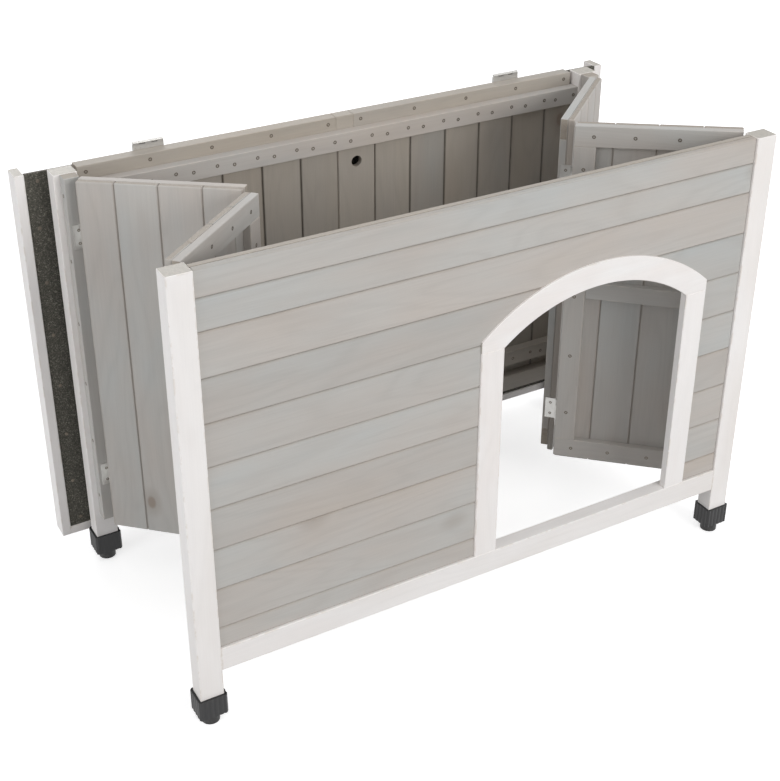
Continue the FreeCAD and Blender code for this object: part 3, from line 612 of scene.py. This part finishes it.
def felt():
    net = Net("mineral_roofing_felt")
    bitumen = lin(46, 45, 41)
    stones = (
        (0.0, lin(62, 61, 54)),
        (0.55, lin(82, 80, 72)),
        (0.85, lin(97, 94, 85)),
        (1.0, lin(130, 127, 116)),
    )
    near, pick = net.cells(net.pos, scale=620.0)
    one, two, three = net.split(pick)
    patch = net.noise(net.pos, scale=14.0, detail=3.0, rough=0.6)
    between = net.math("MULTIPLY", net.step(near, 0.55, 0.80), 0.5)
    colour = net.mix(between, net.ramp(one, stones), bitumen)
    colour = net.mix(1.0, colour, net.grey(net.math("MULTIPLY_ADD", patch, 0.4, 0.8)), "MULTIPLY")
    height = net.math("MULTIPLY_ADD", two, 0.5, net.math("MULTIPLY", near, -1.0))
    rough = net.math("MULTIPLY_ADD", three, 0.2, 0.75)
    return net.finish(colour, rough, net.bump(height, strength=0.7, distance=0.0007))


COVERS = {"hinge": zinc(), "_foot": plastic(), "felt": felt()}
STEEL = screw_steel()
for name in nodes:
    for word, material in COVERS.items():
        if word in name:
            cover(name, material)


# ---- screw and nail heads ------------------------------------------------------------------------
# rings of a head as (share of the radius, height); a cross recess as shares of the radius
SCREW_RINGS = ((1.0, -0.0003), (1.0, 0.00012), (0.9, 0.0002))
NAIL_RINGS = ((1.0, -0.0002), (1.0, 0.0003), (0.86, 0.0005), (0.3, 0.0006))
CROSS_WIDTH, CROSS_ARM, CROSS_TAPER = 0.14, 0.62, 0.8
CROSS_TOP, CROSS_BOTTOM = 0.00017, -0.0009


def head_frame(at, normal, spin):
    """Takes a point of a screw or nail head, drawn round Z, to its place on the wood."""
    normal = Vector(normal).normalized()
    side = normal.orthogonal().normalized()
    turn = Matrix((side, normal.cross(side), normal)).transposed() @ Matrix.Rotation(spin, 3, "Z")
    return lambda x, y, z: Vector(at) + turn @ Vector((x, y, z))


def ring(bm, place, radius, z):
    angles = [2 * math.pi * k / HEAD_SIDES for k in range(HEAD_SIDES)]
    return [bm.verts.new(place(radius * math.cos(a), radius * math.sin(a), z)) for a in angles]


def bridge(bm, a, b):
    for k in range(len(a)):
        n = (k + 1) % len(a)
        bm.faces.new((a[k], a[n], b[n], b[k]))


def turned_rings(bm, place, radius, profile):
    """Rings joined one to the next; the last of them is given back."""
    rings = [ring(bm, place, radius * share, z) for share, z in profile]
    for a, b in zip(rings, rings[1:]):
        bridge(bm, a, b)
    return rings[-1]


def cross(w, arm):
    """Corners of a cross, one arm after another."""
    points = []
    corners = [(w, w), (w, arm), (-w, arm)]
    for quarter in range(4):
        points += corners
        corners = [(-y, x) for x, y in corners]
    return points


def add_screw(bm, at, normal, radius, spin):
    """Countersunk head with a cross recess, its rim just above the surface."""
    place = head_frame(at, normal, spin)
    top = turned_rings(bm, place, radius, SCREW_RINGS)
    corners = cross(radius * CROSS_WIDTH, radius * CROSS_ARM)
    lip = [bm.verts.new(place(x, y, CROSS_TOP)) for x, y in corners]
    pit = [bm.verts.new(place(x * CROSS_TAPER, y * CROSS_TAPER, CROSS_BOTTOM)) for x, y in corners]
    edges = [bm.edges.get((top[k], top[(k + 1) % HEAD_SIDES])) for k in range(HEAD_SIDES)]
    edges += [bm.edges.new((lip[k], lip[(k + 1) % len(lip)])) for k in range(len(lip))]
    bmesh.ops.triangle_fill(bm, use_beauty=True, edges=edges, normal=Vector(normal))
    bridge(bm, lip, pit)
    bm.faces.new(pit)


def add_nail(bm, at, normal, radius, spin):
    """Flat round nail head with a soft rim."""
    bm.faces.new(turned_rings(bm, head_frame(at, normal, spin), radius, NAIL_RINGS))


def heads(name, body, places, radius, add=add_screw):
    """One object with all screw or nail heads of a kind on a body; places are (point, normal)."""
    bm = bmesh.new()
    for k, (at, normal) in enumerate(places):
        add(bm, at, normal, radius, FIRST_SPIN + NEXT_SPIN * k)
    bmesh.ops.recalc_face_normals(bm, faces=bm.faces)
    obj = to_object(bm, name)
    obj.data.materials.append(STEEL)
    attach(obj, body)


# ---- where the heads go --------------------------------------------------------------------------
def back_wall_screws():
    """Two screws a board in each batten, others along the top rails and corner strips."""
    places = []
    boards = spans(solids("rear_wall_boards") + solids("rear_vent_board"), 0)
    for batten in ("rear_top_batten", "rear_bottom_batten"):
        lo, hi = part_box(batten)
        for low, high in boards:
            reach = min(BOARD_REACH, (high - low) / 2 - BOARD_EDGE)
            for sign in (-1, 1):
                x, z = (low + high) / 2 + sign * reach, (lo[2] + hi[2]) / 2 + sign * BATTEN_STAGGER
                places.append(((x, lo[1], z), FRONTWARD))
    for rail in ("rear_top_rail_left", "rear_top_rail_right"):
        lo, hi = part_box(rail)
        for x in even(lo[0] + END_GAP, hi[0] - END_GAP, RAIL_SCREWS):
            places.append(((x, lo[1], hi[2] - RAIL_SCREW_DROP), FRONTWARD))
    for side, sign, k in (("left", -1, 0), ("right", 1, 1)):
        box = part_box(f"rear_{side}_corner_strip")
        for z in even(box[0][2] + STRIP_GAP_LOW, box[1][2] - STRIP_GAP_HIGH, STRIP_SCREWS):
            places.append(((box[k][0], (box[0][1] + box[1][1]) / 2, z), (sign, 0, 0)))
    heads("back_wall_screws", "back_wall", places, SCREW)


def half_screws(half, turn):
    """A screw a board in the top and bottom rail and a row in each stile, on the inner face."""
    out = Matrix.Rotation(math.radians(turn), 3, "Z")
    back = out.inverted()
    lo, hi = whole(solids(half + "_bottom_rail", turn))
    boards = solids(half + "_boards", turn)
    inner = (whole(boards)[0][1] + whole(boards)[1][1]) / 2 < (lo[1] + hi[1]) / 2
    y = hi[1] if inner else lo[1]
    normal = out @ Vector(BACKWARD if inner else FRONTWARD)
    # the top rail slopes: its middle line is found at both ends
    rail = [back @ v.co for v in nodes[half + "_top_rail"].data.vertices]
    ends = []
    for x in (lo[0], hi[0]):
        heights = [p.z for p in rail if abs(p.x - x) < RAIL_END]
        ends.append((min(heights) + max(heights)) / 2)
    spots = []
    for low, high in spans(boards, 0):
        x = min(max((low + high) / 2, lo[0] + END_GAP), hi[0] - END_GAP)
        spots.append((x, ends[0] + (ends[1] - ends[0]) * (x - lo[0]) / (hi[0] - lo[0])))
        spots.append((x, (lo[2] + hi[2]) / 2))
    heights = even(hi[2] + STILE_GAP, min(ends) - STILE_GAP, STILE_SCREWS)
    for low, high in spans(solids(half + "_stiles", turn), 0):
        spots += [((low + high) / 2, z) for z in heights]
    places = [(out @ Vector((x, y, z)), normal) for x, z in spots]
    heads(half + "_screws", half + "_side", places, SCREW)


def front_wall_screws():
    """Through the battens into the rows of boards, on the inner face."""
    lo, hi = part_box("front_top_batten")
    columns = even(lo[0] + BATTEN_GAP, hi[0] - BATTEN_GAP, FRONT_BATTEN_SCREWS)
    spots = [(x, (lo[2] + hi[2]) / 2) for x in columns]
    rows = spans(solids("front_boards"), 2)
    for box in solids("front_left_batten") + solids("front_door_battens"):
        spots += [((box[0][0] + box[1][0]) / 2, (low + high) / 2) for low, high in rows[:-1]]
    heads("front_wall_screws", "front_wall", [((x, hi[1], z), BACKWARD) for x, z in spots], SCREW)


def roof_screws():
    """Two rows of screws through each deck batten."""
    places = []
    battens = solids("roof_deck_battens")
    lo, hi = whole(battens)
    for box in battens:
        for x in even(lo[0] + DECK_GAP, hi[0] - DECK_GAP, DECK_BATTEN_SCREWS):
            for z in (box[0][2] + DECK_SCREW_INSET, box[1][2] - DECK_SCREW_INSET):
                places.append(((x, hi[1], z), BACKWARD))
    heads("roof_deck_screws", "roof_panel", places, SCREW)


def felt_nails():
    """Clout nails round the felt."""
    lo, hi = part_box("roof_felt")
    columns = even(lo[0] + FELT_GAP, hi[0] - FELT_GAP, NAILS_ACROSS)
    spots = [(x, z) for z in (lo[2] + END_GAP, hi[2] - END_GAP) for x in columns]
    rows = even(lo[2] + CORNER_GAP, hi[2] - CORNER_GAP, NAILS_UP)
    spots += [(x, z) for x in (lo[0] + END_GAP, hi[0] - END_GAP) for z in rows]
    places = [((x, lo[1], z), FRONTWARD) for x, z in spots]
    heads("roof_felt_nails", "roof_panel", places, NAIL, add=add_nail)


def screw_face(polys):
    """Polygons of a leaf's flat face away from the wood: its largest flat lies on the wood."""
    flats = {}
    for poly in polys:
        facing = [round(c, SAME_FACING_DIGITS) for c in poly.normal]
        key = (*facing, round(poly.center.dot(poly.normal), SAME_PLANE_DIGITS))
        flats.setdefault(key, []).append(poly)
    by_area = sorted(flats.values(), key=lambda group: -sum(p.area for p in group))
    wood_side = by_area[0][0].normal
    return next(group for group in by_area if group[0].normal.dot(wood_side) < OPPOSITE)


def leaf_screws(name, body):
    """Two screws in each hinge leaf, along the pin: X on the roof, Z on the side walls."""
    mesh = nodes[name].data
    pin = 0 if "roof" in name else 2
    places = []
    for polys in loose(mesh):
        face = screw_face(polys)
        lo, hi = extent([mesh.vertices[k].co for poly in face for k in poly.vertices])
        reach = Vector((0.0, 0.0, 0.0))
        reach[pin] = (hi - lo)[pin] * LEAF_SCREW_REACH
        for at in ((lo + hi) / 2 - reach, (lo + hi) / 2 + reach):
            places.append((at, face[0].normal))
    heads(name.replace("_leaves", "_screws"), body, places, LEAF_SCREW)


back_wall_screws()
for half, turn in TURNS.items():
    half_screws(half, turn)
front_wall_screws()
roof_screws()
felt_nails()
BODY_OF = {name: body for body, names in behaviour["bodies"].items() for name in names}
for name in sorted(n for n in nodes if n.endswith("_leaves")):
    leaf_screws(name, BODY_OF[name])

# ---- floor, world, lamps -------------------------------------------------------------------------
FLOOR_REACH = 9.0
FLOOR_TONE, FLOOR_BOUNCE, FLOOR_GLOW = 0.82, 0.40, 0.58
SKY_COLOUR, SKY_STRENGTH = (0.97, 0.98, 1.0, 1), 0.53
BACKDROP_COLOUR, BACKDROP_STRENGTH = (1, 1, 1, 1), 1.0
# name, place, where it looks, size, power in watts, colour
LAMPS = (
    ("key_softbox", (1.1, -4.1, 2.1), (0, 0, 0.35), (2.4, 1.8), 92.0, (1.0, 0.99, 0.98)),
    ("top_softbox", (0.0, 0.0, 3.6), (0, 0, 0.4), (2.6, 2.6), 18.0, (1, 1, 1)),
    ("back_softbox", (0.9, 4.0, 1.5), (0, 0, 0.4), (2.4, 1.6), 55.0, (1, 1, 1)),
    ("side_softbox", (-3.6, -0.9, 1.1), (0, 0, 0.4), (2.0, 1.6), 34.0, (1, 1, 1)),
)


def seen_directly(tree):
    """1 for what the camera sees straight, in a gloss or through glass."""
    path = tree.nodes.new("ShaderNodeLightPath")
    seen = path.outputs["Is Camera Ray"]
    for ray in ("Is Glossy Ray", "Is Transmission Ray"):
        node = tree.nodes.new("ShaderNodeMath")
        node.operation = "MAXIMUM"
        tree.links.new(seen, node.inputs[0])
        tree.links.new(path.outputs[ray], node.inputs[1])
        seen = node.outputs[0]
    return seen


def drive(tree, socket, seen, low, high):
    """Gives a socket one value where the floor is seen, and a lower one where it only lights."""
    node = tree.nodes.new("ShaderNodeMapRange")
    node.inputs["To Min"].default_value = low
    node.inputs["To Max"].default_value = high
    tree.links.new(seen, node.inputs["Value"])
    tree.links.new(node.outputs[0], socket)


def studio_floor():
    """White floor that glows for the camera, and throws less light back at the object."""
    bm = bmesh.new()
    bmesh.ops.create_grid(bm, x_segments=2, y_segments=2, size=FLOOR_REACH)
    floor = to_object(bm, "studio_floor")
    mat = bpy.data.materials.new("studio_floor")
    mat.use_nodes = True
    tree = mat.node_tree
    tree.nodes.clear()
    out = tree.nodes.new("ShaderNodeOutputMaterial")
    diffuse = tree.nodes.new("ShaderNodeBsdfDiffuse")
    glow = tree.nodes.new("ShaderNodeEmission")
    both = tree.nodes.new("ShaderNodeAddShader")
    seen = seen_directly(tree)
    drive(tree, diffuse.inputs["Color"], seen, FLOOR_BOUNCE, FLOOR_TONE)
    drive(tree, glow.inputs["Strength"], seen, 0.0, FLOOR_GLOW)
    tree.links.new(diffuse.outputs[0], both.inputs[0])
    tree.links.new(glow.outputs[0], both.inputs[1])
    tree.links.new(both.outputs[0], out.inputs[0])
    floor.data.materials.append(mat)


def background(tree, colour, strength):
    node = tree.nodes.new("ShaderNodeBackground")
    node.inputs["Color"].default_value = colour
    node.inputs["Strength"].default_value = strength
    return node.outputs[0]


def studio_world():
    """Soft light from all sides behind a white backdrop."""
    world = bpy.data.worlds.new("studio")
    bpy.context.scene.world = world
    world.use_nodes = True
    tree = world.node_tree
    tree.nodes.clear()
    out = tree.nodes.new("ShaderNodeOutputWorld")
    mix = tree.nodes.new("ShaderNodeMixShader")
    tree.links.new(seen_directly(tree), mix.inputs[0])
    tree.links.new(background(tree, SKY_COLOUR, SKY_STRENGTH), mix.inputs[1])
    tree.links.new(background(tree, BACKDROP_COLOUR, BACKDROP_STRENGTH), mix.inputs[2])
    tree.links.new(mix.outputs[0], out.inputs[0])


def lamp(name, at, target, size, power, tint):
    data = bpy.data.lights.new(name, "AREA")
    data.shape = "RECTANGLE"
    data.size, data.size_y = size
    data.energy = power
    data.color = tint
    obj = bpy.data.objects.new(name, data)
    obj.location = at
    obj.rotation_euler = (Vector(target) - Vector(at)).to_track_quat("-Z", "Y").to_euler()
    bpy.context.scene.collection.objects.link(obj)


studio_floor()
studio_world()
for row in LAMPS:
    lamp(*row)

# ---- camera --------------------------------------------------------------------------------------
# a fitted camera: pixels are those of a 780 x 781 picture, angles are in radians
WIDTH, HEIGHT = 780.0, 781.0
FOCAL_PX, CENTRE_X, CENTRE_Y = 1397.39, 388.15, 330.48
YAW, PITCH, ROLL = 0.5146, -0.5006, 0.0003
STAND_X, STAND_AHEAD, STAND_Z = -1.00562, 1.45374, 1.49496
SENSOR_MM, VIEW_REACH = 36.0, 60.0


def add_camera():
    """Camera at the photograph's viewing angle, placed from the front left post."""
    eye = Vector((STAND_X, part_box("front_left_post")[0][1] - STAND_AHEAD, STAND_Z))
    ahead = (math.sin(YAW) * math.cos(PITCH), math.cos(YAW) * math.cos(PITCH), math.sin(PITCH))
    forward = Vector(ahead)
    level = Vector((math.cos(YAW), -math.sin(YAW), 0.0))
    upright = level.cross(forward)
    right = math.cos(ROLL) * level + math.sin(ROLL) * upright
    up = math.cos(ROLL) * upright - math.sin(ROLL) * level
    data = bpy.data.cameras.new("camera")
    data.sensor_fit = "HORIZONTAL"
    data.sensor_width = SENSOR_MM
    data.lens = FOCAL_PX / WIDTH * data.sensor_width
    data.shift_x = (WIDTH / 2 - CENTRE_X) / WIDTH
    data.shift_y = -(HEIGHT / 2 - CENTRE_Y) / WIDTH
    data.clip_end = VIEW_REACH
    camera = bpy.data.objects.new("camera", data)
    bpy.context.scene.collection.objects.link(camera)
    camera.matrix_world = Matrix((
        (right.x, up.x, -forward.x, eye.x),
        (right.y, up.y, -forward.y, eye.y),
        (right.z, up.z, -forward.z, eye.z),
        (0, 0, 0, 1),
    ))
    bpy.context.scene.camera = camera


add_camera()
bpy.context.scene.view_settings.view_transform = "Standard"
